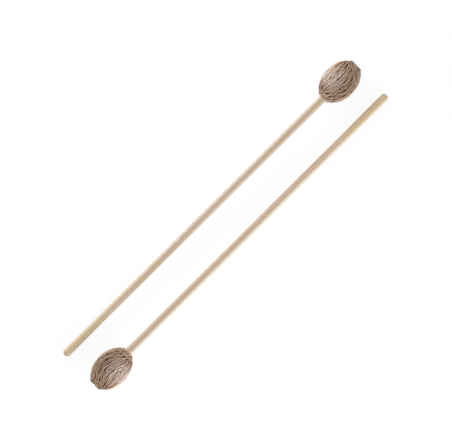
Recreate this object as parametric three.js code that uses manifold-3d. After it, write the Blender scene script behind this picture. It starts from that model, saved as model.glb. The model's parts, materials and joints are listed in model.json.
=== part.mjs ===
// A matched pair of yarn marimba mallets, lying side by side and head to tail.
// Millimetres, +Z up, the floor at z = 0 and the origin under the middle of the pair.
// Each mallet is built along its own axis, butt at 0 and crown at malletLength, and is then laid
// down on its butt and on the belly of its head.

import * as THREE from 'three';
import { mergeVertices } from 'three/addons/utils/BufferGeometryUtils.js';
import Module from 'manifold-3d';

// Driving dimensions of the pair
const malletLength = 419.1;
const malletSpacing = 43.2;
const clearance = 0.3;

// Shaft: a birch dowel, a little slimmer between the hand and the head
const shaftRadius = 3.97;
const shaftButtRadius = 4.05;
const shaftWaistRadius = 3.85;
const shaftWaistStart = 60;
const shaftWaistEnd = 150;
const shaftDomeLength = 3.2;
const shaftTopChamfer = 0.5;

// Head, from the inside out. The core is a moulded rubber egg bored for the shaft, its ends flat
const coreHalfLength = 17;
const coreRadius = 11;
const coreFlatDepth = 1.8;
const latexThickness = 1.0;
const latexCrownOpening = 3.0;
const glueBeadWidth = 0.85;
const glueBeadHeight = 1.4;
const paddingThickness = 2.55;
const paddingEndThickness = 4.45;
const floorFlatDepth = 0.5;

// Outer winding: one strand of yarn that runs up and down the head
const strandDiameter = 1.9;
const strandGap = 0.45;
const loopCount = 18;
const strandSides = 5;
const stepsPerLeg = 8;
const stepsPerTurn = 4;
const bowAngle = THREE.MathUtils.degToRad(23);
const turnInsetShare = 0.85;
const turnSpareShare = 1.2;
const divePower = 3;
const shaftToTurn = 0.48;

// Where the padding meets the winding, with room for the strands' straight steps to sag, and
// the button of yarn that fills the crown
const padSag = 0.35;
const padCrownButton = 1.8;
const padNeckClearance = 0.35;

// Stitched rings that close the yarn at the crown and round the shaft
const stitchRadius = 7.0;
const stitchHalfHeight = 0.7;

// How finely the turned pieces are drawn
const turnedSides = 20;
const eggSteps = 8;
const domeSteps = 3;
const stitchSides = 7;

// Half sections of the egg-shaped layers, each outside the one before
const boreRadius = shaftRadius + clearance;
const coreFlat = coreHalfLength - coreFlatDepth;
const latexInnerLength = coreHalfLength + clearance;
const latexInnerRadius = coreRadius + clearance;
const latexOuterLength = latexInnerLength + latexThickness;
const latexOuterRadius = latexInnerRadius + latexThickness;
const padInnerLength = latexOuterLength + clearance;
const padInnerRadius = latexOuterRadius + clearance;

// The strand's centre line lies on an egg outside the padding
const strandRadius = strandDiameter / 2;
const strandPitch = strandDiameter + strandGap;
const padToStrand = strandRadius + clearance + padSag;
const eggHalfLength = padInnerLength + paddingEndThickness + padToStrand;
const eggRadius = padInnerRadius + paddingThickness + padToStrand;
const headRadius = eggRadius + strandRadius;

// Where the strand turns back: every other loop turns early, so that the others have room beyond
const shortInner = loopCount * strandPitch / (2 * Math.PI) * turnSpareShare;
const longInner = shaftRadius + shaftToTurn + strandRadius;
const turnInset = strandPitch * turnInsetShare;
const shortEnd = Math.acos((shortInner + turnInset) / eggRadius);
const longEnd = Math.acos((longInner + turnInset) / eggRadius);
const halfPitchAngle = Math.PI / loopCount;

// The stitched rings lie just past the furthest turns, and end the head
const turnMiddle = eggPoint(longEnd, strandPitch / 2);
const turnReach = strandPitch / 2 + strandRadius;
const stitchHeight = turnMiddle.height + turnReach + clearance + stitchHalfHeight;
const headCentre = malletLength - stitchHeight - stitchHalfHeight;
const shaftTop = headCentre + coreFlat;
const neckEnd = headCentre - stitchHeight - stitchHalfHeight;

// The mallet leans from its butt up to its head
const headHeight = headRadius - floorFlatDepth;
const restSpan = headCentre - shaftDomeLength;
const restReach = Math.hypot(restSpan, shaftButtRadius);
const tilt = Math.asin(headHeight / restReach) - Math.atan2(shaftButtRadius, restSpan);
const buttHeight = shaftButtRadius * Math.cos(tilt) - shaftDomeLength * Math.sin(tilt);

const wasm = await Module();
wasm.setup();

const birch = new THREE.MeshStandardMaterial({ color: 0xc9ad8c, roughness: 0.5, metalness: 0 });
const rubber = new THREE.MeshStandardMaterial({ color: 0x3b3532, roughness: 0.8, metalness: 0 });
const latex = new THREE.MeshStandardMaterial({ color: 0xc9a86a, roughness: 0.6, metalness: 0 });
const glue = new THREE.MeshStandardMaterial({ color: 0xd8c48a, roughness: 0.3, metalness: 0 });
const padYarn = new THREE.MeshStandardMaterial({ color: 0x7a6552, roughness: 0.95, metalness: 0 });
const outerYarn = new THREE.MeshStandardMaterial({ color: 0x9a8372, roughness: 0.95, metalness: 0 });

// A solid turned about the mallet's axis from a profile of radius and height pairs
function turned(profile) {
  const points = profile.map(([radius, height]) => new THREE.Vector2(radius, height));
  const geometry = new THREE.LatheGeometry(points, turnedSides);
  geometry.rotateX(Math.PI / 2);
  return geometry;
}

// Points on a half section of an egg, from one angle to another, both from its widest place
function eggArc(halfLength, radius, fromAngle, toAngle, steps) {
  const arc = [];
  for (let i = 0; i <= steps; i += 1) {
    const angle = fromAngle + (toAngle - fromAngle) * i / steps;
    arc.push([radius * Math.cos(angle), headCentre + halfLength * Math.sin(angle)]);
  }
  return arc;
}

// Shaft, from the domed butt to its flush end at the top of the core
function shaftGeometry() {
  const profile = [];
  for (let i = 0; i <= domeSteps; i += 1) {
    const angle = Math.PI / 2 * i / domeSteps;
    profile.push([shaftButtRadius * Math.sin(angle), shaftDomeLength * (1 - Math.cos(angle))]);
  }
  profile.push([shaftWaistRadius, shaftWaistStart]);
  profile.push([shaftWaistRadius, shaftWaistEnd]);
  profile.push([shaftRadius, neckEnd]);
  profile.push([shaftRadius, shaftTop - shaftTopChamfer]);
  profile.push([shaftRadius - shaftTopChamfer, shaftTop]);
  profile.push([0, shaftTop]);
  return turned(profile);
}

// Core, bored right through
function coreGeometry() {
  const flatAngle = Math.asin(coreFlat / coreHalfLength);
  const profile = [[boreRadius, headCentre - coreFlat]];
  profile.push(...eggArc(coreHalfLength, coreRadius, -flatAngle, flatAngle, eggSteps));
  profile.push([boreRadius, headCentre + coreFlat]);
  profile.push(profile[0]);
  return turned(profile);
}

// Latex sleeve stretched over the core, open round the shaft and at the crown
function latexGeometry() {
  const outerNeck = -Math.acos(boreRadius / latexOuterRadius);
  const outerCrown = Math.acos(latexCrownOpening / latexOuterRadius);
  const innerNeck = -Math.acos(boreRadius / latexInnerRadius);
  const innerCrown = Math.acos(latexCrownOpening / latexInnerRadius);
  const profile = eggArc(latexOuterLength, latexOuterRadius, outerNeck, outerCrown, eggSteps);
  profile.push(...eggArc(latexInnerLength, latexInnerRadius, innerCrown, innerNeck, eggSteps));
  profile.push(profile[0]);
  return turned(profile);
}

// Bead of glue round the shaft, under the neck of the latex sleeve
function glueBeadGeometry() {
  const neckDrop = latexOuterLength * Math.sqrt(1 - (boreRadius / latexOuterRadius) ** 2);
  const top = headCentre - neckDrop - clearance;
  const beadRadius = boreRadius + glueBeadWidth;
  const profile = [
    [boreRadius, top - glueBeadHeight],
    [boreRadius + glueBeadWidth / 2, top - glueBeadHeight],
    [beadRadius, top - glueBeadHeight / 2],
    [beadRadius, top],
    [boreRadius, top],
  ];
  profile.push(profile[0]);
  return turned(profile);
}

// A point under the egg's surface, at an angle from its widest place and a depth along its normal
function eggPoint(angle, depth) {
  const outward = Math.cos(angle) / eggRadius;
  const along = Math.sin(angle) / eggHalfLength;
  const size = Math.hypot(outward, along);
  return {
    radius: eggRadius * Math.cos(angle) - depth * outward / size,
    height: eggHalfLength * Math.sin(angle) - depth * along / size,
    outward: outward / size,
    along: along / size,
  };
}

// How far a returning leg has dived under its neighbours
function diveDepth(angle) {
  const share = Math.min(Math.abs(angle) / shortEnd, 1);
  const widest = 2 * eggRadius * Math.sin(halfPitchAngle / 2);
  const atWidest = Math.sqrt(Math.max(strandPitch ** 2 - widest ** 2, 0));
  return atWidest + (strandPitch - atWidest) * Math.sin(Math.PI / 2 * share) ** divePower;
}

// The bow of a leg: it runs up and to the right, then up and to the left
function bow(angle) {
  return -bowAngle * Math.sin(Math.PI / 2 * angle / longEnd) ** 2;
}

function placed(radius, height, longitude) {
  const x = radius * Math.cos(longitude);
  const y = radius * Math.sin(longitude);
  return { point: new THREE.Vector3(x, y, headCentre + height), longitude };
}

// One leg between two angles, on the surface or diving under it
function legPoints(fromAngle, toAngle, longitude, dives) {
  const points = [];
  for (let i = 0; i <= stepsPerLeg; i += 1) {
    const half = stepsPerLeg / 2;
    const angle = i < half ? fromAngle * (1 - i / half) : toAngle * (i / half - 1);
    const at = eggPoint(angle, dives ? diveDepth(angle) : 0);
    points.push(placed(at.radius, at.height, longitude + bow(angle)));
  }
  return points;
}

// The turn at a leg's end, between the surface and one strand pitch under it
function turnPoints(angle, longitude, goesUnder) {
  const points = [];
  const middle = eggPoint(angle, strandPitch / 2);
  const swing = strandPitch / 2;
  const side = Math.sign(angle);
  for (let i = 1; i < stepsPerTurn; i += 1) {
    const share = i / stepsPerTurn;
    const turn = Math.PI * (goesUnder ? share : 1 - share);
    const out = swing * Math.cos(turn);
    const on = swing * Math.sin(turn) * side;
    const radius = middle.radius + out * middle.outward - on * middle.along;
    const height = middle.height + out * middle.along + on * middle.outward;
    points.push(placed(radius, height, longitude + bow(angle) + halfPitchAngle * share));
  }
  return points;
}

// The whole centre line of the outer winding, from one end of the yarn to the other
function windingPath() {
  const path = [];
  const endOf = (loop) => (loop % 2 === 0 ? longEnd : shortEnd);
  for (let loop = 0; loop < loopCount; loop += 1) {
    const longitude = 2 * halfPitchAngle * loop;
    const crown = endOf(loop);
    const neckBefore = endOf(loop + 1);
    const neckAfter = endOf(loop);
    path.push(...legPoints(-neckBefore, crown, longitude, false));
    path.push(...turnPoints(crown, longitude, true));
    path.push(...legPoints(crown, -neckAfter, longitude + halfPitchAngle, true));
    if (loop < loopCount - 1) {
      path.push(...turnPoints(-neckAfter, longitude + halfPitchAngle, false));
    }
  }
  return path;
}

// A closed tube round a path, its section held square to the way round the head
function tubeGeometry(path, radius, sides) {
  const positions = [];
  const faces = [];
  path.forEach((station, i) => {
    const before = path[Math.max(i - 1, 0)].point;
    const after = path[Math.min(i + 1, path.length - 1)].point;
    const tangent = after.clone().sub(before).normalize();
    const across = new THREE.Vector3(-Math.sin(station.longitude), Math.cos(station.longitude), 0);
    across.addScaledVector(tangent, -across.dot(tangent)).normalize();
    const up = new THREE.Vector3().crossVectors(across, tangent);
    for (let j = 0; j < sides; j += 1) {
      const angle = 2 * Math.PI * j / sides;
      const corner = station.point.clone();
      corner.addScaledVector(up, radius * Math.cos(angle));
      corner.addScaledVector(across, radius * Math.sin(angle));
      positions.push(corner.x, corner.y, corner.z);
    }
  });
  for (let i = 0; i < path.length - 1; i += 1) {
    for (let j = 0; j < sides; j += 1) {
      const a = i * sides + j;
      const b = i * sides + (j + 1) % sides;
      faces.push(a, b, a + sides, b, b + sides, a + sides);
    }
  }
  const last = (path.length - 1) * sides;
  for (let j = 1; j < sides - 1; j += 1) {
    faces.push(0, j + 1, j);
    faces.push(last, last + j, last + j + 1);
  }
  const geometry = new THREE.BufferGeometry();
  geometry.setAttribute('position', new THREE.Float32BufferAttribute(positions, 3));
  geometry.setIndex(faces);
  return geometry;
}

// The least gap of the strand to itself, measured between points set close along its path
function leastGap(path) {
  const spacing = strandRadius / 2;
  const apart = 3 * strandPitch;
  const samples = [];
  let run = 0;
  for (let i = 0; i < path.length - 1; i += 1) {
    const from = path[i].point;
    const to = path[i + 1].point;
    const span = from.distanceTo(to);
    const pieces = Math.max(Math.ceil(span / spacing), 1);
    for (let j = 0; j < pieces; j += 1) {
      samples.push({ point: from.clone().lerp(to, j / pieces), run: run + span * j / pieces });
    }
    run += span;
  }
  let least = Infinity;
  for (let i = 0; i < samples.length; i += 1) {
    for (let j = i + 1; j < samples.length; j += 1) {
      if (samples[j].run - samples[i].run > apart) {
        least = Math.min(least, samples[i].point.distanceTo(samples[j].point));
      }
    }
  }
  return { gap: least - strandDiameter, length: run };
}

// Padding under the strands: it follows the returning legs and fills the crown
function padGeometry() {
  const neckRadius = boreRadius + glueBeadWidth + padNeckClearance;
  const rows = 2 * eggSteps;
  const profile = [];
  for (let i = 0; i <= rows; i += 1) {
    const angle = -shortEnd + (longEnd + shortEnd) * i / rows;
    const at = eggPoint(angle, diveDepth(angle) + padToStrand);
    profile.push([at.radius, headCentre + at.height]);
  }
  const buttonRadius = turnMiddle.radius - turnReach - clearance;
  const buttonTop = headCentre + turnMiddle.height + padCrownButton;
  profile.push([buttonRadius, headCentre + turnMiddle.height]);
  profile.push([buttonRadius * Math.SQRT1_2, buttonTop - padCrownButton / 3]);
  profile.push([0, buttonTop]);
  const neckAngle = -Math.acos(neckRadius / padInnerRadius);
  const hollow = eggArc(padInnerLength, padInnerRadius, Math.PI / 2, neckAngle, eggSteps);
  const top = [0, headCentre + padInnerLength];
  const neckFace = [neckRadius, profile[0][1]];
  return turned([top, ...hollow.slice(1), neckFace, ...profile]);
}

// A stitched ring, flat-oval in section, round the mallet's axis
function stitchGeometry(height) {
  const innerRadius = boreRadius;
  const halfWidth = (stitchRadius - innerRadius) / 2;
  const profile = [];
  for (let i = 0; i < stitchSides; i += 1) {
    const angle = 2 * Math.PI * i / stitchSides;
    const radius = innerRadius + halfWidth * (1 + Math.cos(angle));
    profile.push([radius, height + stitchHalfHeight * Math.sin(angle)]);
  }
  profile.push(profile[0]);
  return turned(profile);
}

// A geometry's solid for cutting, and the way back
function toSolid(geometry) {
  const bare = geometry.clone();
  bare.deleteAttribute('normal');
  bare.deleteAttribute('uv');
  const merged = mergeVertices(bare);
  const mesh = new wasm.Mesh({
    numProp: 3,
    vertProperties: new Float32Array(merged.attributes.position.array),
    triVerts: new Uint32Array(merged.index.array),
  });
  return new wasm.Manifold(mesh);
}

function toGeometry(solid) {
  const mesh = solid.getMesh();
  const geometry = new THREE.BufferGeometry();
  geometry.setAttribute('position', new THREE.Float32BufferAttribute(mesh.vertProperties, 3));
  geometry.setIndex(new THREE.Uint32BufferAttribute(mesh.triVerts, 1));
  geometry.computeVertexNormals();
  return geometry;
}

// Where a mallet lies: its crown towards +X, leaning up from its butt
function restMatrix() {
  const matrix = new THREE.Matrix4().makeRotationY(Math.PI / 2 - tilt);
  matrix.setPosition(-malletLength * Math.cos(tilt) / 2, malletSpacing / 2, buttHeight);
  return matrix;
}

// The winding, with the strands that meet the floor worn flat there
function windingGeometry() {
  const path = windingPath();
  const measured = leastGap(path);
  const told = `least gap of the strand to itself ${measured.gap.toFixed(3)} mm`;
  console.log(`${told}, strand length ${measured.length.toFixed(0)} mm`);
  const solid = toSolid(tubeGeometry(path, strandRadius, strandSides));
  const floor = new THREE.BoxGeometry(2 * malletLength, 2 * malletLength, headRadius);
  floor.translate(0, 0, -headRadius / 2);
  floor.applyMatrix4(restMatrix().invert());
  return toGeometry(solid.subtract(toSolid(floor)));
}

const shapes = [
  ['shaft', shaftGeometry(), birch],
  ['core', coreGeometry(), rubber],
  ['latex_sleeve', latexGeometry(), latex],
  ['glue_bead', glueBeadGeometry(), glue],
  ['yarn_padding', padGeometry(), padYarn],
  ['yarn_winding', windingGeometry(), outerYarn],
  ['crown_stitch', stitchGeometry(headCentre + stitchHeight), outerYarn],
  ['neck_stitch', stitchGeometry(headCentre - stitchHeight), outerYarn],
];

function mallet(number) {
  const group = new THREE.Group();
  for (const [name, geometry, material] of shapes) {
    const mesh = new THREE.Mesh(geometry, material);
    mesh.name = `mallet_${number}_${name}`;
    group.add(mesh);
  }
  group.applyMatrix4(restMatrix());
  return group;
}

// The second mallet is the first one turned half round
const turnedRound = new THREE.Group();
turnedRound.rotation.z = Math.PI;
turnedRound.add(mallet(2));

const pair = new THREE.Group();
pair.add(mallet(1), turnedRound);

export default pair;
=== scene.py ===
# Looks of a matched pair of yarn marimba mallets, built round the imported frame.
# Lengths are in metres. Each piece is shaped on its own mallet, with the middle of the head at the
# origin, x towards the floor, y to the outer side and z to the crown, and is then laid where the
# frame says.

import json
import math
import random
from collections import namedtuple

import bpy
from mathutils import Euler, Matrix, Vector, noise

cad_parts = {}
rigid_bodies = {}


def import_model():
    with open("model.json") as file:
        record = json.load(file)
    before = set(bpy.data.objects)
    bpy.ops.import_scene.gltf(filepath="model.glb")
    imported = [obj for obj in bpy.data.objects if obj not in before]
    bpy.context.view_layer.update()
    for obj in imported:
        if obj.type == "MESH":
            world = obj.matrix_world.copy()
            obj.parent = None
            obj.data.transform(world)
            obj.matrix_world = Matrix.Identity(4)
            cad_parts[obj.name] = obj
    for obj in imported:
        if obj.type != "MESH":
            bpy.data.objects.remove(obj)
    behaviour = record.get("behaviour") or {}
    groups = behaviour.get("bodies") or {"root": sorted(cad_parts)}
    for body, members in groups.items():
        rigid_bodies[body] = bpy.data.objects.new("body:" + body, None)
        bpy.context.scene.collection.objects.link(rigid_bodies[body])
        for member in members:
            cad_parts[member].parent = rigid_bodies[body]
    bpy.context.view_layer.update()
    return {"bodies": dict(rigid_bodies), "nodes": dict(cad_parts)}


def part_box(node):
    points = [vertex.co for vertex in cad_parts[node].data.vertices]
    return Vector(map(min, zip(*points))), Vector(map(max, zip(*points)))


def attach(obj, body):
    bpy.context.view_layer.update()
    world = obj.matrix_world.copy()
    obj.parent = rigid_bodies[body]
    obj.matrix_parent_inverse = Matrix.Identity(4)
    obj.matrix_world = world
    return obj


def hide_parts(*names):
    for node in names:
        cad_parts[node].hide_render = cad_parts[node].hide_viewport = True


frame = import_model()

MM = 0.001

# A random drift along a strand: how far it goes, how often in a hoop or a ring, and its own seed
Drift = namedtuple("Drift", "reach rate seed")

# A point of a strand: where it is, how thick the yarn is there, how much painted shade darkens it,
# and how much felt there is, which also paints a grey haze on it
StrandPoint = namedtuple("StrandPoint", "place girth buried felted")

# Shaft: a birch dowel. Its waist is slimmest between two places measured up from the butt
SHAFT_RADIUS = 3.97 * MM
BUTT_RADIUS = 4.05 * MM
WAIST_RADIUS = 3.85 * MM
WAIST_START = 60 * MM
WAIST_END = 150 * MM
DOME_LENGTH = 3.2 * MM
DOME_RINGS = 12
SHAFT_SIDES = 96
SHAFT_STEP = 4 * MM

# Birch: how far apart along one trunk the two shafts are cut, and in millimetres where the pith
# lies beside them, how wide a growth ring is and how far it waves
TRUNK_STEP = 0.7
PITH = (24, 11)
RING_WIDTH = 1.9
RING_WAVE = 9

# Head: an egg of yarn in hoops that run beside the axis, at an offset from it
EGG_RADIUS = 16.9 * MM
EGG_HALF_LENGTH = 23.85 * MM
HOOP_OFFSET = 6 * MM
STEPS_PER_HOOP = 144

# Outer winding: one strand of plied yarn, and how far its lower half lies beneath its upper half
OUTER_HOOPS = 45
OUTER_PITCH = math.tau / OUTER_HOOPS
OUTER_LAYER_DROP = 1.2 * MM
OUTER_SEED = 7
OUTER_YARN = {
    "Step": 0.6 * MM,
    "Plies": 2,
    "Ply Offset": 0.29 * MM,
    "Ply Radius": 0.49 * MM,
    "Twist Length": 5.4 * MM,
    "Sides": 5,
}

# Scatter of the outer hoops, from lowest to highest: in millimetres their offsets and their lifts
# off the egg, in pitches their shifts sideways
NECK_OFFSETS = (-1.3, 1.3)
CROWN_OFFSETS = (-1.8, 1.2)
SHIFTS = (-0.22, 0.22)
LIFTS = (-0.2, 0.15)
NECK_LIFTS = (-1.2, 0.2)
CROWN_LIFTS = (-1.2, 0.3)

# Drifts of the outer strand: sideways in pitches, then in height and in girth
SIDE_DRIFTS = (Drift(0.1, 4.3, 0), Drift(0.3, 17, 6), Drift(0.13, 37, 4))
UNDER_DRIFT = Drift(0.55, 9.7, 5)
PIT_DRIFT = Drift(0.5, 13, 8)
HEIGHT_DRIFT = Drift(0.15 * MM, 29, 1)
GIRTH_DRIFT = Drift(0.08, 19, 2)

# How far neighbouring strands drift together, in radians round the axis, and over what distance
SWAY = 0.03
SWAY_REACH = 4.5 * MM

# How far the strands bow sideways between the crown and the neck, in radians round the axis, how
# far the bow leans to the crown, and how much both change towards the outer side
BOW = 0.27
BOW_CHANGE = 0.1
BOW_LEAN = 0.25
BOW_LEAN_CHANGE = 0.4

# Where the outer strand changes along its hoop, by the sine or cosine of its swing: from and full,
# and for the two rows of holes at the neck also fading and gone
ON_TOP = (-0.35, 0.35)
NEAR_NECK = (0.6, 0.8)
NEAR_CROWN = (0.55, 0.74)
AT_END = (0.84, 0.99)
CROWN_TURN = (0.78, 0.92)
CROWN_EDGE = (0.8, 0.88)
FIRST_ROW = (0.69, 0.81, 0.84, 0.91)
SECOND_ROW = (0.85, 0.93, 0.95, 0.99)

# At the neck three hoops gather in a rope: how far they are pulled together in each row, in
# pitches, and how far each of the three stands proud, in millimetres
HOOPS_IN_ROPE = 3
ROPE_MIDDLE = 1
FIRST_ROW_PULL = 0.78
SECOND_ROW_PULL = 0.8
ROPE_LIFTS = (-0.05, 0.25, -0.35)
NECK_CALM = 0.5

# At the crown the hoops pair up and cross: how far, in pitches, and how far past each other
CROWN_PAIRING = 0.28
CROWN_CROSSING = 2.4
END_LIFT = 0.6 * MM

# Where felt covers the yarn, on the outer side round the middle; where the yarn is pitted, on the
# inner side; and where painted shade darkens it, towards the ends of the outer side
FELT_FACING = (-0.3, 0.65)
FELT_FADING = (0.15, 0.7)
FELT_CENTRE = -0.16
PIT_FACING = (-0.1, 0.6)
PIT_SPIN = (0, 0.5)
END_SHADE_FACING = (-0.5, 0.6)
END_SHADE_RISE = (0.3, 0.7)
END_SHADE_SPIN = (0, 0.3)
END_SHADE_DARKNESS = 1.1

# How much deeper or less deep the strands beneath lie in these places
DEEPER_AT_NECK = 1.5
DEEPER_AT_CROWN = 1.2
DEEPER_IN_PITS = 0.7
SHALLOWER_IN_FELT = 0.5

# How much thinner or thicker the strand is in these places
THINNER_AT_NECK = 0.12
THINNER_AT_CROWN = 0.06
THINNER_IN_PITS = 0.1
THICKER_IN_FELT = 0.12

# How much painted shade darkens the strands beneath in these places, and every strand at the
# crown's edge
SHADE_AT_NECK = 2.5
SHADE_AT_CROWN = 2
SHADE_IN_PITS = 0.5
CROWN_EDGE_SHADE = 0.7

# Inner winding, seen in the gaps: how deep it lies, and how much deeper beneath and at the ends
INNER_HOOPS = 30
INNER_DROP = 2.4 * MM
INNER_LAYER_DROP = 0.6 * MM
INNER_END_DROP = 0.5 * MM
INNER_END_SHARE = 0.75
INNER_ON_TOP = (-0.3, 0.3)
INNER_NEAR_ENDS = (0.5, 0.8)
# Painted shade on the inner strands near the ends, where they show deep in the holes
INNER_END_SHADE = 3
INNER_NECK_OFFSET = 5.4 * MM
INNER_CROWN_OFFSETS = (0.5, 4.8)
INNER_SIDE_DRIFT = Drift(0.5, 4.1, 0)
INNER_HEIGHT_DRIFT = Drift(0.25 * MM, 5.9, 1)
INNER_SEED = 11
INNER_YARN = {
    "Step": 0.8 * MM,
    "Plies": 2,
    "Ply Offset": 0.5 * MM,
    "Ply Radius": 0.6 * MM,
    "Twist Length": 4.6 * MM,
    "Sides": 4,
}

# The closed egg of packed yarn beneath
PAD_DROP = 4.6 * MM
PAD_END_SHARE = 0.7
PAD_RINGS = 24
PAD_SIDES = 48

# Stitched ring of the crown: the ring, and in millimetres how far a wrap reaches out and up
CROWN_RING_RADIUS = 5.7 * MM
CROWN_RING_DROP = 1.6 * MM
CROWN_RING_SHARE = 0.995
CROWN_WRAPS = 15
STEPS_PER_WRAP = 14
WRAP_REACH = 1.25
WRAP_REACH_DRIFT = Drift(0.15, 29, 0)
WRAP_HEIGHT = 0.55
WRAP_HEIGHT_SCATTER = 0.1
CROWN_SEED = 21

# Stitched ring of the neck: its turns, and in millimetres how far off the shaft and up it starts,
# and how much further it goes by its end
NECK_TURNS = 2.6
STEPS_PER_TURN = 60
NECK_RING_GAP = 1.0
NECK_RING_SPREAD = 1.755
NECK_GAP_DRIFT = Drift(0.1, 17, 0)
NECK_RING_RISE = 0.85
NECK_RING_CLIMB = 0.35
NECK_RISE_DRIFT = Drift(0.12, 23, 1)
NECK_SEED = 23

STITCH_YARN = {
    "Step": 0.45 * MM,
    "Plies": 2,
    "Ply Offset": 0.45 * MM,
    "Ply Radius": 0.52 * MM,
    "Twist Length": 3.6 * MM,
    "Sides": 6,
}

# Uneven dye along a strand: how fast it changes from point to point, and a seed for each yarn
TINT_RATE = 0.034
OUTER_TINT_SEED = 3
INNER_TINT_SEED = 5
STITCH_TINT_SEED = 9

# How far each thing takes a yarn towards its shade colour: random dye, painted shade and fibre
# lines; and how far felt takes it towards a painted grey haze where the fibres catch the light
TINT_SHARE = 0.3
PAINTED_SHADE_SHARE = 0.42
FIBRE_SHARE = 0.3
PAINTED_HAZE_SHARE = 0.45

# Stray fibres. Density is their number to a square metre where their growth is 1. They grow a
# little everywhere and more where the yarn is felted, up to this angle, in degrees, at both ends
FUZZ_FIBRES = {
    "Density": 1.6e6,
    "Reach": 2.4 * MM,
    "Rise": 0.65 * MM,
    "Thickness": 0.042 * MM,
    "Seed": 4,
}
FUZZ_ANGLE = 74
FUZZ_CENTRE = -0.1
FUZZ_GROWTH = 0.4
FUZZ_FELT_GROWTH = 1.1
FUZZ_RINGS = 28
FUZZ_SIDES = 48

# A fibre's length beside the usual one, and its turn and tilt on its root, from lowest to highest
FIBRE_LENGTHS = (0.35, 1.3)
FIBRE_TURNS = (0, math.tau)
FIBRE_TILTS = (-0.25, 0.35)

# No yarn comes nearer to the floor than this
FLOOR_GAP = 0.02 * MM

# Noise: what brings it to about 1, how far its seeds lie apart, and what keeps a place off the
# whole numbers, where noise is always 0
NOISE_GAIN = 1.6
WANDER_SEED_STEP = 13.7
SWAY_SEED_STEP = 9.1
OFF_GRID = (0.31, 0.47)

# Studio: half the floor's width, and the share of white glow in its paint, as seen and as it lights
FLOOR_HALF_WIDTH = 6
FLOOR_GLOW_SEEN = 0.9
FLOOR_GLOW = 0.4
WORLD_STRENGTH = 0.62
LAMP_HEIGHT = 0.2

# Camera: the photograph's width in pixels, the length of a pixel at a height above the floor, how
# far the mallets are turned, in degrees, and how far right and up the aim is, in millimetres
PHOTO_WIDTH = 452
PIXEL = 1.0148 * MM
PIXEL_LEVEL = 12 * MM
PHOTO_TURN = 44.82
AIM_RIGHT = 0.41
AIM_UP = 3.70
LENS = 200
SENSOR_WIDTH = 36


class Mallet:
    """Where one mallet lies, worked out from its nodes in the frame."""

    def __init__(self, number):
        self.number = number
        self.body = f"mallet_{number}"
        crown = middle(self.node("crown_stitch"))
        neck = middle(self.node("neck_stitch"))
        self.centre = (crown + neck) / 2
        axis = (crown - neck).normalized()
        across = Vector((0, 0, 1)).cross(axis).normalized()
        belly = across.cross(axis)
        turn = Matrix((belly, across, axis)).transposed().to_4x4()
        self.matrix = Matrix.Translation(self.centre) @ turn
        self.half_head = (crown - neck).length / 2
        dowel = frame["nodes"][self.node("shaft")].data
        runs = [(vertex.co - self.centre).dot(axis) for vertex in dowel.vertices]
        self.butt = min(runs)
        self.shaft_top = max(runs)

    def node(self, part):
        return f"mallet_{self.number}_{part}"


def middle(node):
    low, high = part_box(node)
    return (low + high) / 2


def smooth(low, high, value):
    """0 below low, 1 above high, and an even curve between."""
    share = min(max((value - low) / (high - low), 0), 1)
    return share * share * (3 - 2 * share)


def band(limits, value):
    """1 between the two middle limits, 0 outside the outer two, and even curves between."""
    start, full, fading, gone = limits
    return smooth(start, full, value) * (1 - smooth(fading, gone, value))


def wander(place, seed):
    """A random drift between about -1 and 1."""
    across, beyond = OFF_GRID
    return NOISE_GAIN * noise.noise(Vector((place, WANDER_SEED_STEP * seed + across, beyond)))


def drift(kind, place, seed):
    return kind.reach * wander(place * kind.rate, seed + kind.seed)


def sway(point, reach, seed):
    """A random drift between about -1 and 1 that neighbouring strands share."""
    across, beyond = OFF_GRID
    return NOISE_GAIN * noise.noise(point / reach + Vector((across, SWAY_SEED_STEP * seed, beyond)))


def srgb(red, green, blue):
    """A colour given from 0 to 255 as it looks on screen, ready for a shader."""
    shares = [channel / 255 for channel in (red, green, blue)]
    linear = [s / 12.92 if s <= 0.04045 else ((s + 0.055) / 1.055) ** 2.4 for s in shares]
    return (*linear, 1)


class Value:
    """A number or vector in a node tree. Sums and products of numbers add their own nodes."""

    def __init__(self, nodes, socket):
        self.nodes = nodes
        self.socket = socket

    def combine(self, operation, first, second):
        return self.nodes.value("ShaderNodeMath", {"operation": operation}, {0: first, 1: second})

    def __add__(self, other):
        return self.combine("ADD", self, other)

    def __radd__(self, other):
        return self.combine("ADD", other, self)

    def __sub__(self, other):
        return self.combine("SUBTRACT", self, other)

    def __rsub__(self, other):
        return self.combine("SUBTRACT", other, self)

    def __mul__(self, other):
        return self.combine("MULTIPLY", self, other)

    def __rmul__(self, other):
        return self.combine("MULTIPLY", other, self)

    def __truediv__(self, other):
        return self.combine("DIVIDE", self, other)

    def __rtruediv__(self, other):
        return self.combine("DIVIDE", other, self)

    def __pow__(self, other):
        return self.combine("POWER", self, other)


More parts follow.
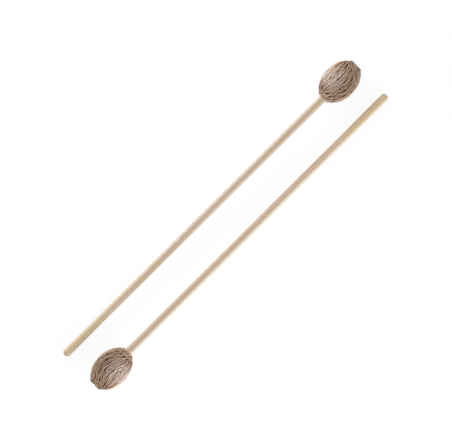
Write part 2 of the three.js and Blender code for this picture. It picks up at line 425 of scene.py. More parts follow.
class Nodes:
    """A node tree being filled."""

    def __init__(self, tree):
        self.tree = tree

    def add(self, kind, settings=None, inputs=None):
        """One node: its settings go in first, then the values or links of its sockets."""
        node = self.tree.nodes.new(kind)
        for name, value in (settings or {}).items():
            setattr(node, name, value)
        for key, value in (inputs or {}).items():
            given = value.socket if isinstance(value, Value) else value
            if isinstance(given, bpy.types.NodeSocket):
                self.tree.links.new(given, node.inputs[key])
            else:
                node.inputs[key].default_value = given
        return node

    def value(self, kind, settings=None, inputs=None, output=0):
        return Value(self, self.add(kind, settings, inputs).outputs[output])

    def sine(self, angle):
        return self.value("ShaderNodeMath", {"operation": "SINE"}, {0: angle})

    def cosine(self, angle):
        return self.value("ShaderNodeMath", {"operation": "COSINE"}, {0: angle})

    def greater(self, first, second):
        return self.value("ShaderNodeMath", {"operation": "MAXIMUM"}, {0: first, 1: second})

    def rise(self, value, low, high):
        """0 below low, 1 above high, and an even curve between."""
        inputs = {"Value": value, "From Min": low, "From Max": high}
        return self.value("ShaderNodeMapRange", {"interpolation_type": "SMOOTHSTEP"}, inputs)

    def vector(self, operation, first, second=None, output=0):
        inputs = {0: first}
        if second is not None:
            inputs[1] = second
        return self.value("ShaderNodeVectorMath", {"operation": operation}, inputs, output)

    def scaled(self, vector, factor):
        inputs = {0: vector, "Scale": factor}
        return self.value("ShaderNodeVectorMath", {"operation": "SCALE"}, inputs)

    def joined(self, x, y, z):
        return self.value("ShaderNodeCombineXYZ", None, {"X": x, "Y": y, "Z": z})

    def split(self, vector):
        """The three numbers of a vector."""
        parts = self.add("ShaderNodeSeparateXYZ", None, {"Vector": vector})
        return [Value(self, output) for output in parts.outputs]

    def mix(self, share, first, second):
        """From the first colour to the second, on the sockets that are for colours."""
        inputs = {0: share, 6: first, 7: second}
        return self.value("ShaderNodeMix", {"data_type": "RGBA"}, inputs, output=2)

    def noise(self, place, scale, detail, roughness=0.5):
        inputs = {"Vector": place, "Scale": scale, "Detail": detail, "Roughness": roughness}
        return self.value("ShaderNodeTexNoise", None, inputs)

    def bump(self, height, distance, strength):
        inputs = {"Strength": strength, "Distance": distance, "Height": height}
        return self.value("ShaderNodeBump", None, inputs)

    def in_view(self):
        """1 for what the camera sees, also mirrored or through glass, and 0 for all other light."""
        rays = self.add("ShaderNodeLightPath")
        kinds = ("Is Camera Ray", "Is Glossy Ray", "Is Transmission Ray")
        camera, glossy, through = [Value(self, rays.outputs[kind]) for kind in kinds]
        return camera + glossy + through

    def random(self, limits, seed):
        """A random number between two limits, drawn anew for each point."""
        low, high = limits
        inputs = {2: low, 3: high, "Seed": seed}
        return self.value("FunctionNodeRandomValue", {"data_type": "FLOAT"}, inputs, output=1)

    def stored(self, name):
        """A number that each point of the guide carries."""
        return self.value("GeometryNodeInputNamedAttribute", {"data_type": "FLOAT"}, {"Name": name})

    def store(self, geometry, name, value, kind):
        settings = {"data_type": kind, "domain": "POINT"}
        inputs = {"Geometry": geometry, "Name": name, "Value": value}
        return self.value("GeometryNodeStoreNamedAttribute", settings, inputs)


def new_material(name):
    """An empty material, and its nodes to be filled."""
    material = bpy.data.materials.new(name)
    material.use_nodes = True
    material.node_tree.nodes.clear()
    return material, Nodes(material.node_tree)


def finish_material(nodes, inputs):
    shader = nodes.add("ShaderNodeBsdfPrincipled", None, inputs)
    nodes.add("ShaderNodeOutputMaterial", None, {"Surface": shader.outputs[0]})


def birch(mallet):
    """Satin birch: growth rings cut lengthwise, fibres, short pores, bare grain at the butt."""
    material, nodes = new_material(f"birch of mallet {mallet.number}")
    back = mallet.matrix.inverted()
    inputs = {
        "Vector": nodes.value("ShaderNodeTexCoord", output="Object"),
        "Location": back.translation + Vector((0, 0, TRUNK_STEP * mallet.number)),
        "Rotation": back.to_euler(),
    }
    place = nodes.scaled(nodes.value("ShaderNodeMapping", None, inputs), 1 / MM)
    x, y, z = nodes.split(place)
    run = z - TRUNK_STEP / MM * mallet.number - mallet.butt / MM

    def grain(across, along, detail, roughness=0.5):
        """Noise with so many waves to a millimetre, across the shaft and along it."""
        stretched = nodes.joined(x * across, y * across, z * along)
        return nodes.noise(stretched, 1, detail, roughness)

    waves = grain(across=0.05, along=0.012, detail=1)
    from_pith = nodes.joined(x + PITH[0] + waves * RING_WAVE, y + PITH[1], 0)
    ring_angle = nodes.vector("LENGTH", from_pith, output="Value") * (math.tau / RING_WIDTH)
    rings = nodes.sine(ring_angle) * 0.5 + 0.5
    fibres = grain(across=2.6, along=0.05, detail=4, roughness=0.6)
    patches = grain(across=0.2, along=0.02, detail=2)
    pores = nodes.rise(grain(across=5, along=0.55, detail=1), 0.68, 0.76)
    end_grain = 1 - nodes.rise(run, 0.3, 2.2)

    # Paler away from the hand. Then each tone goes over the last, by its own share
    colour = nodes.mix(nodes.rise(run, 10, 130), srgb(213, 182, 136), srgb(215, 188, 155))
    for share, tone in (
        (rings ** 3 * 0.35, srgb(200, 171, 136)),
        (nodes.rise(fibres, 0.35, 0.75) * 0.5, srgb(198, 168, 134)),
        (nodes.rise(patches, 0.4, 0.7) * 0.3, srgb(220, 202, 180)),
        (pores * 0.45, srgb(150, 120, 88)),
        (end_grain * 0.75, srgb(150, 132, 98)),
    ):
        colour = nodes.mix(share, colour, tone)
    height = fibres * 0.6 - pores * 0.8 + end_grain * nodes.noise(place, 3, 3)
    finish_material(nodes, {
        "Base Color": colour,
        "Roughness": 0.46 + fibres * 0.06 + end_grain * 0.25,
        "Coat Weight": 1 - end_grain * 0.8,
        "Coat Roughness": 0.28,
        "Coat IOR": 1.7,
        "Normal": nodes.bump(height, distance=0.02 * MM, strength=0.15),
    })
    return material


def yarn(name, pale, deep, shade, sheen):
    """Matt plied wool: fine fibres that lie along each ply, uneven dye, a little sheen, painted
    shade where it lies beneath or in hollows, and a painted grey haze on the felt.
    """
    material, nodes = new_material(name)
    section = nodes.value("ShaderNodeAttribute", {"attribute_name": "section"}, output="Vector")
    run, tint, buried, felted = [
        nodes.value("ShaderNodeAttribute", {"attribute_name": attribute}, output="Fac")
        for attribute in ("run", "tint", "buried", "felted")
    ]
    millimetres = run / MM
    along_ply = nodes.joined(0, 0, millimetres * 0.5 + tint * 40)
    round_ply = nodes.scaled(section, 2.2)
    fibres = nodes.noise(nodes.vector("ADD", round_ply, along_ply), 2.4, 3, 0.65)
    slubs = nodes.noise(nodes.joined(millimetres * 0.11, tint * 50, 0), 1, 2)
    lint = nodes.noise(nodes.value("ShaderNodeTexCoord", output="Object"), 900, 3, 0.6)
    dyed = nodes.mix(nodes.rise(slubs, 0.3, 0.7), pale, deep)
    # Random dye and painted shade both take the yarn towards its shade colour
    darkness = nodes.rise(tint, 0.1, 0.9) * TINT_SHARE + buried * PAINTED_SHADE_SHARE
    tinted = nodes.mix(darkness, dyed, shade)
    lined = nodes.mix(nodes.rise(fibres, 0.45, 0.8) * FIBRE_SHARE, tinted, shade)
    finish_material(nodes, {
        # A grey haze is painted on the felt of the outer side, where the fibres catch the light
        "Base Color": nodes.mix(felted * PAINTED_HAZE_SHARE, lined, srgb(200, 194, 190)),
        "Roughness": 0.82 + lint * 0.16,
        "Sheen Weight": sheen,
        "Sheen Roughness": 0.5,
        "Sheen Tint": srgb(246, 236, 230),
        "Specular IOR Level": 0.2,
        "Normal": nodes.bump(fibres + lint * 0.7, distance=0.12 * MM, strength=0.8),
    })
    return material


def speckled(name, first, second, scale, roughness, relief):
    """A plain stuff with a fine uneven surface."""
    material, nodes = new_material(name)
    place = nodes.value("ShaderNodeTexCoord", output="Object")
    grain = nodes.noise(place, scale, 4, 0.6)
    finish_material(nodes, {
        "Base Color": nodes.mix(nodes.rise(grain, 0.35, 0.65), first, second),
        "Roughness": roughness + (grain - 0.5) * 0.2,
        "Normal": nodes.bump(grain, distance=relief, strength=0.6),
    })
    return material


def white_floor():
    """A pale floor that looks white round the object and keeps its soft shadow."""
    material, nodes = new_material("white floor")
    share = nodes.in_view() * (FLOOR_GLOW_SEEN - FLOOR_GLOW) + FLOOR_GLOW
    paint = nodes.add("ShaderNodeBsdfDiffuse", None, {"Color": (0.9, 0.9, 0.9, 1)})
    glow = nodes.add("ShaderNodeEmission", None, {"Strength": 1})
    inputs = {0: share, 1: paint.outputs[0], 2: glow.outputs[0]}
    mixed = nodes.add("ShaderNodeMixShader", None, inputs)
    nodes.add("ShaderNodeOutputMaterial", None, {"Surface": mixed.outputs[0]})
    return material


def link(obj):
    bpy.context.scene.collection.objects.link(obj)
    return obj


def mesh_object(name, vertices, faces, matrix=Matrix.Identity(4)):
    mesh = bpy.data.meshes.new(name)
    mesh.from_pydata([matrix @ Vector(v) for v in vertices], [], faces)
    mesh.shade_smooth()
    return link(bpy.data.objects.new(name, mesh))


def round_point(radius, angle, height):
    """A point at this distance from the axis."""
    return Vector((radius * math.cos(angle), radius * math.sin(angle), height))


def turned(name, profile, sides, matrix):
    """A closed body turned about the mallet's axis. The profile runs up, from axis to axis."""
    rings = profile[1:-1]
    vertices = [(0, 0, profile[0][1])]
    for radius, height in rings:
        vertices += [round_point(radius, math.tau * side / sides, height) for side in range(sides)]
    vertices.append((0, 0, profile[-1][1]))
    last = len(vertices) - 1
    faces = []
    for side in range(sides):
        beside = (side + 1) % sides
        faces.append((0, 1 + beside, 1 + side))
        for ring in range(len(rings) - 1):
            low = 1 + ring * sides
            high = low + sides
            faces.append((low + side, low + beside, high + beside, high + side))
        faces.append((last, last - sides + side, last - sides + beside))
    return mesh_object(name, vertices, faces, matrix)


def shaft(mallet, material):
    """The dowel, with its domed butt, its slight waist and its hidden end in the core."""
    profile = []
    for i in range(DOME_RINGS + 1):
        angle = math.pi / 2 * i / DOME_RINGS
        height = mallet.butt + DOME_LENGTH * (1 - math.cos(angle))
        profile.append((BUTT_RADIUS * math.sin(angle), height))
    above_butt = DOME_LENGTH + SHAFT_STEP
    neck = -mallet.half_head - mallet.butt
    while above_butt < neck:
        slim = BUTT_RADIUS + (WAIST_RADIUS - BUTT_RADIUS) * smooth(0, WAIST_START, above_butt)
        radius = slim + (SHAFT_RADIUS - WAIST_RADIUS) * smooth(WAIST_END, neck, above_butt)
        profile.append((radius, mallet.butt + above_butt))
        above_butt += SHAFT_STEP
    profile.append((SHAFT_RADIUS, mallet.shaft_top))
    profile.append((0, mallet.shaft_top))
    piece = turned(mallet.node("birch_shaft"), profile, SHAFT_SIDES, mallet.matrix)
    piece.data.materials.append(material)
    return piece


def hoop_point(radius, half_length, offset, bearing, swing):
    """A point of a hoop on the egg. Its plane runs beside the axis, at an offset from it."""
    reach = math.sqrt(radius ** 2 - offset ** 2)
    on = reach * math.cos(swing)
    x = offset * math.cos(bearing) - on * math.sin(bearing)
    y = offset * math.sin(bearing) + on * math.cos(bearing)
    return Vector((x, y, half_length * reach / radius * math.sin(swing)))


def hoop_angle(offset, spin):
    """How far round the axis a point of a hoop lies from the hoop's own bearing."""
    return math.atan2(math.sqrt(EGG_RADIUS ** 2 - offset ** 2) * spin, offset)


class Scatter:
    """What sets each hoop of the outer winding apart from an even one."""

    def __init__(self, seed):
        draw = random.Random(seed)
        ends = OUTER_HOOPS + 1
        self.necks = [HOOP_OFFSET + draw.uniform(*NECK_OFFSETS) * MM for _ in range(ends)]
        self.crowns = [HOOP_OFFSET + draw.uniform(*CROWN_OFFSETS) * MM for _ in range(ends)]
        self.shifts = [draw.uniform(*SHIFTS) for _ in range(ends + 1)]
        self.lifts = [draw.uniform(*LIFTS) * MM for _ in range(ends + 1)]
        self.neck_lifts = [draw.uniform(*NECK_LIFTS) * MM for _ in range(ends)]
        self.crown_lifts = [draw.uniform(*CROWN_LIFTS) * MM for _ in range(ends)]


class Spot:
    """A point of the outer winding: how far along its hoop, and on what part of the head."""

    def __init__(self, turns):
        self.turns = turns
        self.hoop = min(int(turns), OUTER_HOOPS - 1)
        self.within = turns - self.hoop
        self.swing = math.tau * turns - math.pi / 2
        self.rise = math.sin(self.swing)
        self.spin = math.cos(self.swing)
        self.side = math.copysign(1, self.spin)
        self.beneath = 1 - smooth(*ON_TOP, self.spin)

        self.near_neck = smooth(*NEAR_NECK, -self.rise)
        self.near_crown = smooth(*NEAR_CROWN, self.rise)
        self.at_neck = smooth(*AT_END, -self.rise)
        self.at_crown = smooth(*AT_END, self.rise)
        self.first_row = band(FIRST_ROW, -self.rise)
        self.second_row = band(SECOND_ROW, -self.rise)
        self.neck_pass = round(turns)
        self.rope = self.neck_pass % HOOPS_IN_ROPE
        self.next_rope = (self.neck_pass + 1) % HOOPS_IN_ROPE

        quarter = math.acos(HOOP_OFFSET / EGG_RADIUS)
        self.facing = math.sin(OUTER_PITCH * turns + self.side * quarter)
        off_middle = abs(self.rise - FELT_CENTRE)
        self.felted = smooth(*FELT_FACING, self.facing) * (1 - smooth(*FELT_FADING, off_middle))
        self.pitted = smooth(*PIT_FACING, -self.facing) * smooth(*PIT_SPIN, abs(self.spin))
        unevenness = 1 - SHALLOWER_IN_FELT * self.felted + DEEPER_IN_PITS * self.pitted
        self.under = self.beneath * unevenness

    def between(self, values):
        """A hoop's own value, which passes evenly into the next hoop's."""
        return values[self.hoop] * (1 - self.within) + values[self.hoop + 1] * self.within


def outer_shift(spot, scatter, seed):
    """How far the strand lies sideways of its even place, in pitches."""
    crown_side = 1 if spot.hoop % 2 == 0 else -1
    crossing = 1 - CROWN_CROSSING * smooth(*CROWN_TURN, spot.rise)
    shift = spot.between(scatter.shifts) * (1 - NECK_CALM * spot.near_neck)
    shift += CROWN_PAIRING * spot.near_crown * crown_side * crossing
    shift -= FIRST_ROW_PULL * spot.first_row * (spot.rope - ROPE_MIDDLE)
    shift -= SECOND_ROW_PULL * spot.second_row * (spot.next_rope - ROPE_MIDDLE)
    for kind in SIDE_DRIFTS:
        shift += drift(kind, spot.turns, seed)
    shift += spot.beneath * (1 - spot.near_neck) * drift(UNDER_DRIFT, spot.turns, seed)
    return shift + spot.pitted * drift(PIT_DRIFT, spot.turns, seed)


def outer_bearing(spot, offset, shift):
    """Which way the plane of the strand's hoop faces there, with the bow and an even width."""
    lean = BOW_LEAN - BOW_LEAN_CHANGE * spot.facing
    bow = (BOW + BOW_CHANGE * spot.facing) * spot.spin ** 2 * (1 + lean * spot.rise)
    bearing = OUTER_PITCH * (spot.turns + shift) + spot.side * bow
    return bearing + (hoop_angle(HOOP_OFFSET, spot.spin) - hoop_angle(offset, spot.spin))


def outer_depth(spot, scatter, seed):
    """How far the strand lies beneath the surface of the egg."""
    deeper = 1 + DEEPER_AT_NECK * spot.near_neck + DEEPER_AT_CROWN * spot.near_crown
    depth = OUTER_LAYER_DROP * spot.under * deeper
    depth -= spot.between(scatter.lifts)
    depth -= drift(HEIGHT_DRIFT, spot.turns, seed)
    depth -= MM * spot.first_row * ROPE_LIFTS[spot.rope]
    depth -= MM * spot.second_row * ROPE_LIFTS[spot.next_rope]
    depth -= scatter.neck_lifts[spot.neck_pass] * spot.at_neck
    return depth - scatter.crown_lifts[spot.hoop] * spot.at_crown


def outer_girth(spot, seed):
    girth = 1 - THINNER_AT_NECK * spot.near_neck - THINNER_AT_CROWN * spot.near_crown
    girth += THICKER_IN_FELT * spot.felted - THINNER_IN_PITS * spot.pitted
    return girth + drift(GIRTH_DRIFT, spot.turns, seed)


def outer_painted_shade(spot):
    """How much painted shade darkens the yarn's colour: beneath other strands, towards the ends of
    the outer side, and at the crown.
    """
    darker = 1 + SHADE_AT_NECK * spot.near_neck + SHADE_AT_CROWN * spot.near_crown
    darker += SHADE_IN_PITS * spot.pitted
    # Painted shade, darker towards the ends of the outer side
    end_shade = smooth(*END_SHADE_FACING, spot.facing) * smooth(*END_SHADE_RISE, abs(spot.rise))
    end_shade *= END_SHADE_DARKNESS * smooth(*END_SHADE_SPIN, abs(spot.spin))
    return spot.under * darker + end_shade + CROWN_EDGE_SHADE * smooth(*CROWN_EDGE, spot.rise)


def outer_path(seed):
    """The strand of the outer winding: up outside, over the crown, down under its neighbours."""
    scatter = Scatter(seed)
    path = []
    for step in range(OUTER_HOOPS * STEPS_PER_HOOP + 1):
        spot = Spot(step / STEPS_PER_HOOP)
        at_crown = scatter.crowns[spot.hoop] * (1 + spot.rise) / 2
        at_neck = scatter.necks[spot.neck_pass] * (1 - spot.rise) / 2
        offset = at_crown + at_neck
        bearing = outer_bearing(spot, offset, outer_shift(spot, scatter, seed))
        depth = outer_depth(spot, scatter, seed)
        radius = EGG_RADIUS - depth
        half_length = EGG_HALF_LENGTH - depth + END_LIFT * (spot.at_neck + spot.at_crown)
        plain = hoop_point(radius, half_length, offset, bearing, spot.swing)
        bearing += SWAY * sway(plain, SWAY_REACH, seed)
        place = hoop_point(radius, half_length, offset, bearing, spot.swing)
        path.append(StrandPoint(place, outer_girth(spot, seed), outer_painted_shade(spot), spot.felted))
    return path


def inner_path(seed):
    """The strand of the winding beneath, which also crosses the crown's hollow."""
    draw = random.Random(seed)
    pitch = math.tau / INNER_HOOPS
    crowns = [draw.uniform(*INNER_CROWN_OFFSETS) * MM for _ in range(INNER_HOOPS + 1)]
    path = []
    for step in range(INNER_HOOPS * STEPS_PER_HOOP + 1):
        turns = step / STEPS_PER_HOOP
        hoop = min(int(turns), INNER_HOOPS - 1)
        swing = -(math.tau * turns - math.pi / 2)
        rise = math.sin(swing)
        bearing = pitch * (turns + drift(INNER_SIDE_DRIFT, turns, seed))
        offset = crowns[hoop] * (1 + rise) / 2 + INNER_NECK_OFFSET * (1 - rise) / 2
        near_ends = smooth(*INNER_NEAR_ENDS, abs(rise))
        beneath = 1 - smooth(*INNER_ON_TOP, math.cos(swing))
        depth = INNER_DROP + INNER_LAYER_DROP * beneath
        depth += INNER_END_DROP * near_ends - drift(INNER_HEIGHT_DRIFT, turns, seed)
        half_length = EGG_HALF_LENGTH - INNER_END_SHARE * depth
        place = hoop_point(EGG_RADIUS - depth, half_length, offset, bearing, swing)
        # Painted shade darkens the inner strands near the ends, where they show in the holes
        path.append(StrandPoint(place, girth=1, buried=INNER_END_SHADE * near_ends, felted=0))
    return path


def crown_stitch_path(crown, seed):
    """Yarn that whips round and round the gathered loops of the crown."""
    draw = random.Random(seed)
    steps = CROWN_WRAPS * STEPS_PER_WRAP
    path = []
    for step in range(steps + 1):
        share = step / steps
        roll = math.tau * CROWN_WRAPS * share
        reach = WRAP_REACH + drift(WRAP_REACH_DRIFT, share, seed)
        radius = CROWN_RING_RADIUS + reach * MM * math.cos(roll)
        swell = WRAP_HEIGHT + WRAP_HEIGHT_SCATTER * draw.random()
        height = crown + swell * MM * math.sin(roll) - CROWN_RING_DROP
        place = round_point(radius, math.tau * share * CROWN_RING_SHARE, height)
        # The loops take painted shade and the painted grey haze, so they come out darker and greyer
        # than the winding
        path.append(StrandPoint(place, girth=0.72, buried=1.5, felted=0.8))
    return path


def neck_stitch_path(neck, seed):
    """Yarn laid round the shaft two and a half times, tight against the loops."""
    steps = int(NECK_TURNS * STEPS_PER_TURN)
    path = []
    for step in range(steps + 1):
        share = step / steps
        gap = NECK_RING_GAP + NECK_RING_SPREAD * share + drift(NECK_GAP_DRIFT, share, seed)
        climb = NECK_RING_RISE + NECK_RING_CLIMB * share + drift(NECK_RISE_DRIFT, share, seed)
        bearing = math.tau * NECK_TURNS * share
        place = round_point(SHAFT_RADIUS + gap * MM, bearing, climb * MM - neck)
        path.append(StrandPoint(place, girth=0.8, buried=0, felted=0))
    return path


def new_tree(name, sizes, output):
    """A node tree with an input for each size. Gives the tree, its nodes and its inputs."""
    tree = bpy.data.node_groups.new(name, "GeometryNodeTree")
    for label, kind in sizes.items():
        tree.interface.new_socket(label, in_out="INPUT", socket_type=f"NodeSocket{kind}")
    tree.interface.new_socket(output, in_out="OUTPUT", socket_type="NodeSocketGeometry")
    nodes = Nodes(tree)
    given = nodes.add("NodeGroupInput").outputs
    return tree, nodes, {socket.name: Value(nodes, socket) for socket in given if socket.name}


def finish_tree(nodes, swept, size, output):
    """Keeps a mesh off the floor, smooths it, makes it real and paints it."""
    x, y, z = nodes.split(nodes.value("GeometryNodeInputPosition"))
    place = nodes.joined(x, y, nodes.greater(z, size["Floor"]))
    pressed = nodes.value("GeometryNodeSetPosition", None, {"Geometry": swept, "Position": place})
    smoothed = nodes.value("GeometryNodeSetShadeSmooth", None, {"Geometry": pressed})
    real = nodes.value("GeometryNodeRealizeInstances", None, {"Geometry": smoothed})
    inputs = {"Geometry": real, "Material": size["Material"]}
    painted = nodes.value("GeometryNodeSetMaterial", None, inputs)
    nodes.add("NodeGroupOutput", None, {output: painted})


def yarn_tree():
    """Twists plies round a guide line, sweeps each, and presses the yarn flat on the floor."""
    tree, nodes, size = new_tree("plied yarn", {
        "Guide": "Geometry",
        "Step": "Float",
        "Plies": "Int",
        "Ply Offset": "Float",
        "Ply Radius": "Float",
        "Twist Length": "Float",
        "Sides": "Int",
        "Floor": "Float",
        "Material": "Material",
    }, "Yarn")

    line = nodes.value("GeometryNodeMeshToCurve", None, {"Mesh": size["Guide"]})
    inputs = {"Curve": line, "Length": size["Step"]}
    even = nodes.value("GeometryNodeResampleCurve", {"mode": "LENGTH"}, inputs)
    run = nodes.value("GeometryNodeSplineParameter", output="Length")
    marked = nodes.store(even, "run", run, "FLOAT")
    inputs = {"Geometry": marked, "Amount": size["Plies"]}
    plies = nodes.add("GeometryNodeDuplicateElements", {"domain": "SPLINE"}, inputs)
    ply = Value(nodes, plies.outputs["Duplicate Index"])

    turn = (run / size["Twist Length"] + ply / size["Plies"]) * math.tau
    girth = nodes.stored("girth")
    normal = nodes.value("GeometryNodeInputNormal")
    sideways = nodes.vector("CROSS_PRODUCT", nodes.value("GeometryNodeInputTangent"), normal)
    spread = size["Ply Offset"] * girth
    outwards = nodes.scaled(normal, nodes.cosine(turn) * spread)
    beside = nodes.scaled(sideways, nodes.sine(turn) * spread)
    aside = nodes.vector("ADD", outwards, beside)
    inputs = {"Geometry": plies.outputs["Geometry"], "Offset": aside}
    twisted = nodes.value("GeometryNodeSetPosition", None, inputs)

    inputs = {"Resolution": size["Sides"], "Radius": size["Ply Radius"]}
    circle = nodes.value("GeometryNodeCurvePrimitiveCircle", None, inputs)
    direction = nodes.vector("NORMALIZE", nodes.value("GeometryNodeInputPosition"))
    profile = nodes.store(circle, "section", direction, "FLOAT_VECTOR")
    inputs = {"Curve": twisted, "Profile Curve": profile, "Scale": girth, "Fill Caps": True}
    finish_tree(nodes, nodes.value("GeometryNodeCurveToMesh", None, inputs), size, "Yarn")
    return tree


def fuzz_tree():
    """Scatters short bent fibres over a guide surface, each turned its own way."""
    tree, nodes, size = new_tree("yarn fuzz", {
        "Guide": "Geometry",
        "Density": "Float",
        "Reach": "Float",
        "Rise": "Float",
        "Thickness": "Float",
        "Seed": "Int",
        "Floor": "Float",
        "Material": "Material",
    }, "Fuzz")

    density = size["Density"] * nodes.stored("growth")
    inputs = {"Mesh": size["Guide"], "Density": density, "Seed": size["Seed"]}
    settings = {"distribute_method": "RANDOM"}
    roots = nodes.add("GeometryNodeDistributePointsOnFaces", settings, inputs)
    reach = size["Reach"]
    rise = size["Rise"]
    fibre = nodes.value("GeometryNodeCurveQuadraticBezier", None, {
        "Resolution": 3,
        "Start": (0, 0, 0),
        "Middle": nodes.joined(reach * 0.45, reach * 0.1, rise * 2),
        "End": nodes.joined(reach, reach * 0.4, rise * 0.3),
    })
    length = nodes.random(FIBRE_LENGTHS, 1)
    turn = nodes.random(FIBRE_TURNS, 2)
    tilt = nodes.random(FIBRE_TILTS, 3)
    planted = nodes.value("GeometryNodeInstanceOnPoints", None, {
        "Points": roots.outputs["Points"],
        "Instance": fibre,
        "Rotation": roots.outputs["Rotation"],
        "Scale": length,
    })
    inputs = {"Instances": planted, "Rotation": nodes.joined(0, tilt, turn)}
    turned_fibres = nodes.value("GeometryNodeRotateInstances", None, inputs)
    lines = nodes.value("GeometryNodeRealizeInstances", None, {"Geometry": turned_fibres})
    inputs = {"Resolution": 3, "Radius": size["Thickness"] / 2}
    circle = nodes.value("GeometryNodeCurvePrimitiveCircle", None, inputs)
    inputs = {"Curve": lines, "Profile Curve": circle, "Fill Caps": True}
    finish_tree(nodes, nodes.value("GeometryNodeCurveToMesh", None, inputs), size, "Fuzz")
    return tree


def mark(mesh, name, values):
    """Stores a number at each point of a mesh."""
    mesh.attributes.new(name, "FLOAT", "POINT").data.foreach_set("value", values)


def grown(name, guide, tree, sizes, material):
    """The plain mesh that a node tree makes of a guide object."""
    given = {**sizes, "Floor": FLOOR_GAP, "Material": material}
    modifier = guide.modifiers.new(name, "NODES")
    modifier.node_group = tree
    for item in tree.interface.items_tree:
        if item.item_type == "SOCKET" and item.in_out == "INPUT" and item.name in given:
            modifier[item.identifier] = given[item.name]
    bpy.context.view_layer.update()
    evaluated = guide.evaluated_get(bpy.context.evaluated_depsgraph_get())
    mesh = bpy.data.meshes.new_from_object(evaluated)
    mesh.name = name
    bpy.data.objects.remove(guide)
    return link(bpy.data.objects.new(name, mesh))


def fuzz(mallet, tree, material):
    """Stray fibres that stand off the outer winding, thickest on the felt of the outer side."""
    vertices = []
    for ring in range(FUZZ_RINGS + 1):
        swing = math.radians(FUZZ_ANGLE) * (2 * ring / FUZZ_RINGS - 1)
        radius = EGG_RADIUS * math.cos(swing)
        height = EGG_HALF_LENGTH * math.sin(swing)
        for side in range(FUZZ_SIDES):
            angle = math.tau * side / FUZZ_SIDES
            vertices.append((radius * math.cos(angle), radius * math.sin(angle), height))
    faces = []
    for ring in range(FUZZ_RINGS):
        low = ring * FUZZ_SIDES
        high = low + FUZZ_SIDES
        for side in range(FUZZ_SIDES):
            beside = (side + 1) % FUZZ_SIDES
            faces.append((low + side, low + beside, high + beside, high + side))
    guide = mesh_object(f"{mallet.body} fuzz guide", vertices, faces, mallet.matrix)
    growth = []
    for _, y, z in vertices:
        off_middle = abs(z / EGG_HALF_LENGTH - FUZZ_CENTRE)
        felted = smooth(*FELT_FACING, y / EGG_RADIUS) * (1 - smooth(*FELT_FADING, off_middle))
        growth.append(FUZZ_GROWTH + FUZZ_FELT_GROWTH * felted)
    mark(guide.data, "growth", growth)
    return grown(mallet.node("yarn_fuzz"), guide, tree, FUZZ_FIBRES, material)


def yarn_piece(name, path, mallet, tree, sizes, material, tint_seed):
    """A strand of plied yarn along a path of strand points."""
    places, girths, darkness, felt_and_painted_haze = zip(*path)
    mesh = bpy.data.meshes.new(f"{name} guide")
    edges = [(i, i + 1) for i in range(len(path) - 1)]
    mesh.from_pydata([mallet.matrix @ place for place in places], edges, [])
    tints = [0.5 + 0.5 * wander(i * TINT_RATE, tint_seed) for i in range(len(path))]
    mark(mesh, "girth", girths)
    mark(mesh, "buried", darkness)
    mark(mesh, "felted", felt_and_painted_haze)
    mark(mesh, "tint", tints)
    guide = link(bpy.data.objects.new(f"{name} guide", mesh))
    return grown(name, guide, tree, sizes, material)


def outer_winding(mallet, tree, material):
    name = mallet.node("wound_yarn")
    path = outer_path(OUTER_SEED)
    return yarn_piece(name, path, mallet, tree, OUTER_YARN, material, OUTER_TINT_SEED)


def inner_winding(mallet, tree, material):
    """The layers beneath: strands that show in the gaps, over a closed egg of packed yarn."""
    name = mallet.node("inner_yarn")
    path = inner_path(INNER_SEED)
    strands = yarn_piece(name, path, mallet, tree, INNER_YARN, material, INNER_TINT_SEED)
    radius = EGG_RADIUS - PAD_DROP
    half_length = EGG_HALF_LENGTH - PAD_END_SHARE * PAD_DROP
    profile = []
    for ring in range(PAD_RINGS + 1):
        angle = math.pi * (ring / PAD_RINGS - 0.5)
        profile.append((radius * math.cos(angle), half_length * math.sin(angle)))
    egg = turned(mallet.node("packed_yarn"), profile, PAD_SIDES, mallet.matrix)
    egg.data.materials.append(material)
    with bpy.context.temp_override(active_object=strands, selected_editable_objects=[strands, egg]):
        bpy.ops.object.join()
    return strands


def stitch(mallet, part, path, tree, material):
    name = mallet.node(part)
    return yarn_piece(name, path, mallet, tree, STITCH_YARN, material, STITCH_TINT_SEED)


def settle(piece, mallet, node):
    """Puts a finished piece on its mallet, in place of a node of the frame."""
    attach(piece, mallet.body)
    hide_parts(mallet.node(node))


def repaint(obj, material):
    obj.data.materials.clear()
    obj.data.materials.append(material)


def build_mallet(mallet, strand_tree, fibre_tree, finishes):
    outer = finishes["outer_yarn"]
    shaded_padding = finishes["padding_yarn"]
    settle(shaft(mallet, birch(mallet)), mallet, "shaft")
    settle(outer_winding(mallet, strand_tree, outer), mallet, "yarn_winding")
    stray = fuzz(mallet, fibre_tree, finishes["stray_fibres"])
    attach(stray, mallet.body)
    settle(inner_winding(mallet, strand_tree, shaded_padding), mallet, "yarn_padding")
    crown_path = crown_stitch_path(mallet.half_head, CROWN_SEED)
    crown = stitch(mallet, "crown_loops", crown_path, strand_tree, outer)
    settle(crown, mallet, "crown_stitch")
    neck_path = neck_stitch_path(mallet.half_head, NECK_SEED)
    neck = stitch(mallet, "neck_turns", neck_path, strand_tree, outer)
    settle(neck, mallet, "neck_stitch")
    for node, finish in (("core", "core_rubber"), ("latex_sleeve", "latex"), ("glue_bead", "glue")):
        repaint(frame["nodes"][mallet.node(node)], finishes[finish])


def studio_floor():
    half = FLOOR_HALF_WIDTH
    corners = [(-half, -half, 0), (half, -half, 0), (half, half, 0), (-half, half, 0)]
    floor = mesh_object("floor", corners, [(0, 1, 2, 3)])
    floor.data.materials.append(white_floor())


def soft_lamp(name, place, target, size, power):
    data = bpy.data.lights.new(name, "AREA")
    data.shape = "RECTANGLE"
    data.size, data.size_y = size
    data.energy = power
    lamp = link(bpy.data.objects.new(name, data))
    lamp.location = place
    lamp.rotation_euler = (Vector(target) - Vector(place)).to_track_quat("-Z", "Y").to_euler()
    lamp.visible_camera = False
    return lamp


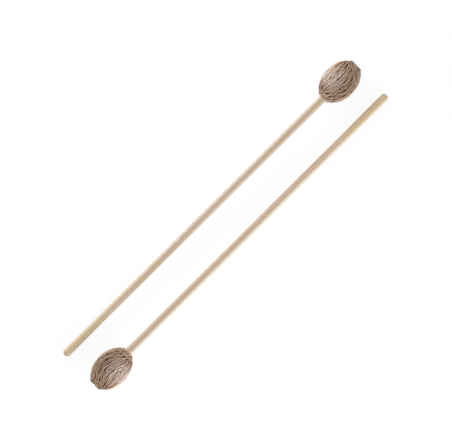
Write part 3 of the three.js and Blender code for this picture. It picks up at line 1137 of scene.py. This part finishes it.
def shine_on(lamp, pieces):
    """Keeps a lamp to these pieces and the floor."""
    lit = bpy.data.collections.new(f"lit by {lamp.name}")
    for piece in [*pieces, bpy.data.objects["floor"]]:
        lit.objects.link(piece)
    lamp.light_linking.receiver_collection = lit


def white_world():
    """Plain soft light from all round, with a white background."""
    world = bpy.data.worlds.new("studio")
    world.use_nodes = True
    world.node_tree.nodes.clear()
    nodes = Nodes(world.node_tree)
    seen = nodes.in_view()
    strength = seen + (1 - seen) * WORLD_STRENGTH
    sky = nodes.add("ShaderNodeBackground", None, {"Color": (1, 1, 1, 1), "Strength": strength})
    nodes.add("ShaderNodeOutputWorld", None, {"Surface": sky.outputs[0]})
    bpy.context.scene.world = world


def studio_light(mallets):
    """Soft lamps for each mallet: two on its wood, two on its yarn, and one that fills in."""
    white_world()
    for mallet in mallets:
        side = math.copysign(1, mallet.centre.y)
        pieces = list(frame["bodies"][mallet.body].children_recursive)
        wood = [piece for piece in pieces if "birch" in piece.name]
        yarns = [piece for piece in pieces if "birch" not in piece.name]
        butt = mallet.matrix @ Vector((0, 0, mallet.butt))
        side_lamp = soft_lamp(
            f"side lamp {mallet.number}",
            place=(0, side * 0.42, 0.045),
            target=(0, side * 0.02, 0.01),
            size=(0.7, 0.06),
            power=0.2,
        )
        shine_on(side_lamp, wood)
        butt_lamp = soft_lamp(
            f"butt lamp {mallet.number}",
            place=(butt.x, butt.y - side * 0.12, LAMP_HEIGHT),
            target=butt,
            size=(0.1, 0.1),
            power=0.06,
        )
        shine_on(butt_lamp, wood)
        head_lamp = soft_lamp(
            f"head lamp {mallet.number}",
            place=(mallet.centre.x, side * 0.38, LAMP_HEIGHT),
            target=mallet.centre,
            size=(0.3, 0.16),
            power=1.28,
        )
        shine_on(head_lamp, yarns)
        far_lamp = soft_lamp(
            f"far lamp {mallet.number}",
            place=(mallet.centre.x, side * -0.4, LAMP_HEIGHT),
            target=mallet.centre,
            size=(0.2, 0.1),
            power=0.38,
        )
        shine_on(far_lamp, yarns)
        soft_lamp(
            f"fill lamp {mallet.number}",
            place=(0, side * 0.6, 0.08),
            target=(0, 0, 0.01),
            size=(0.7, 0.12),
            power=1.15,
        )


def studio_camera():
    """Straight above, turned so that the mallets run up to the right as photographed."""
    turn = math.radians(PHOTO_TURN)
    picture_width = PHOTO_WIDTH * PIXEL
    data = bpy.data.cameras.new("camera")
    data.lens = LENS
    data.sensor_width = SENSOR_WIDTH
    data.clip_start = 0.01
    data.clip_end = 20
    camera = link(bpy.data.objects.new("camera", data))
    right = Vector((math.cos(turn), -math.sin(turn), 0))
    up = Vector((math.sin(turn), math.cos(turn), 0))
    aim = right * AIM_RIGHT * MM + up * AIM_UP * MM
    height = PIXEL_LEVEL + picture_width * LENS / SENSOR_WIDTH
    camera.location = aim + Vector((0, 0, height))
    camera.rotation_euler = Euler((0, 0, -turn))
    bpy.context.scene.camera = camera


bpy.context.scene.view_settings.view_transform = "Standard"
studio_camera()
studio_floor()

finishes = {
    "outer_yarn": yarn(
        "outer yarn",
        pale=srgb(212, 184, 161),
        deep=srgb(196, 165, 140),
        shade=srgb(106, 62, 28),
        sheen=0.45,
    ),
    # The padding is drawn as a darker copy of the outer yarn: painted shade, since it shows only
    # deep in the gaps
    "padding_yarn": yarn(
        "padding yarn",
        pale=srgb(166, 129, 98),
        deep=srgb(148, 109, 77),
        shade=srgb(70, 36, 14),
        sheen=0.1,
    ),
    "stray_fibres": speckled(
        "stray fibres",
        first=srgb(216, 198, 184),
        second=srgb(198, 178, 162),
        scale=600,
        roughness=0.9,
        relief=0.01 * MM,
    ),
    "core_rubber": speckled(
        "core rubber",
        first=srgb(52, 48, 44),
        second=srgb(64, 59, 54),
        scale=900,
        roughness=0.75,
        relief=0.05 * MM,
    ),
    "latex": speckled(
        "latex",
        first=srgb(204, 170, 112),
        second=srgb(190, 152, 92),
        scale=700,
        roughness=0.5,
        relief=0.03 * MM,
    ),
    "glue": speckled(
        "glue",
        first=srgb(216, 194, 140),
        second=srgb(204, 176, 116),
        scale=500,
        roughness=0.2,
        relief=0.02 * MM,
    ),
}
strand_tree = yarn_tree()
fibre_tree = fuzz_tree()
mallets = [Mallet(1), Mallet(2)]
for mallet in mallets:
    build_mallet(mallet, strand_tree, fibre_tree, finishes)
studio_light(mallets)
